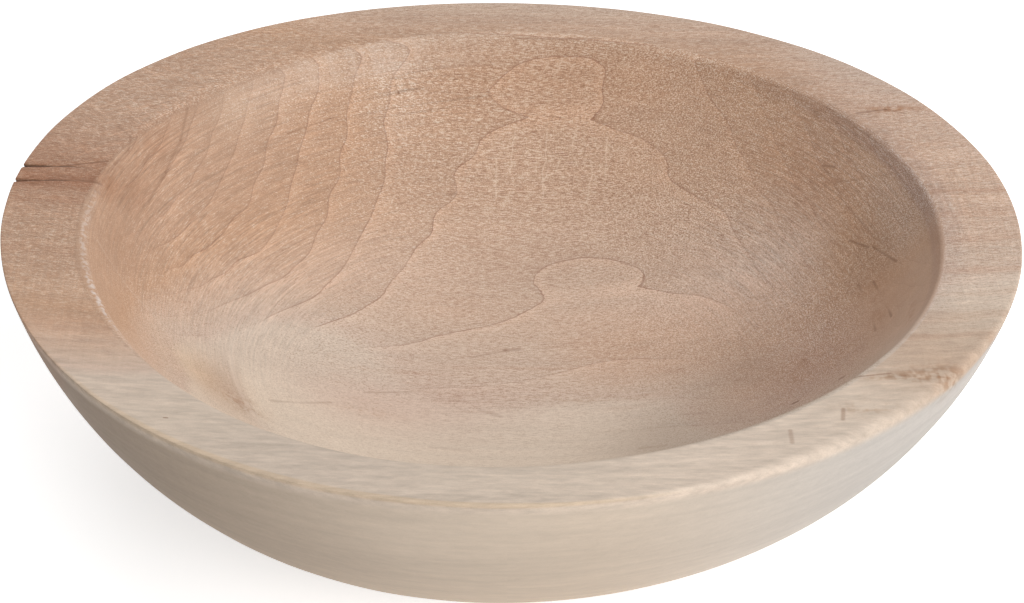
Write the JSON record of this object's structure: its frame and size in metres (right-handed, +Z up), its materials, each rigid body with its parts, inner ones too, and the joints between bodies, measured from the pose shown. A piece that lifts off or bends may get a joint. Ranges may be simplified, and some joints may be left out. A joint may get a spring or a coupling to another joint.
{
  "type": "dough bowl",
  "caption": "Round shallow wooden dough bowl with a wide flat rim and a flat foot, turned from solid pale wood, for mixing, kneading and proving dough.",
  "frame": {"origin": "centre of the foot, on the surface that the bowl stands on", "axes": "+Z up along the bowl's turning axis, towards its mouth; +X along the grain of the wood; -Y towards the viewer"},
  "size_m": [0.3601, 0.3602, 0.0961],
  "materials": {
    "wood": "bare sanded wood, matt"
  },
  "bodies": {
    "root": {"bowl": "wood"}
  },
  "joints": []
}
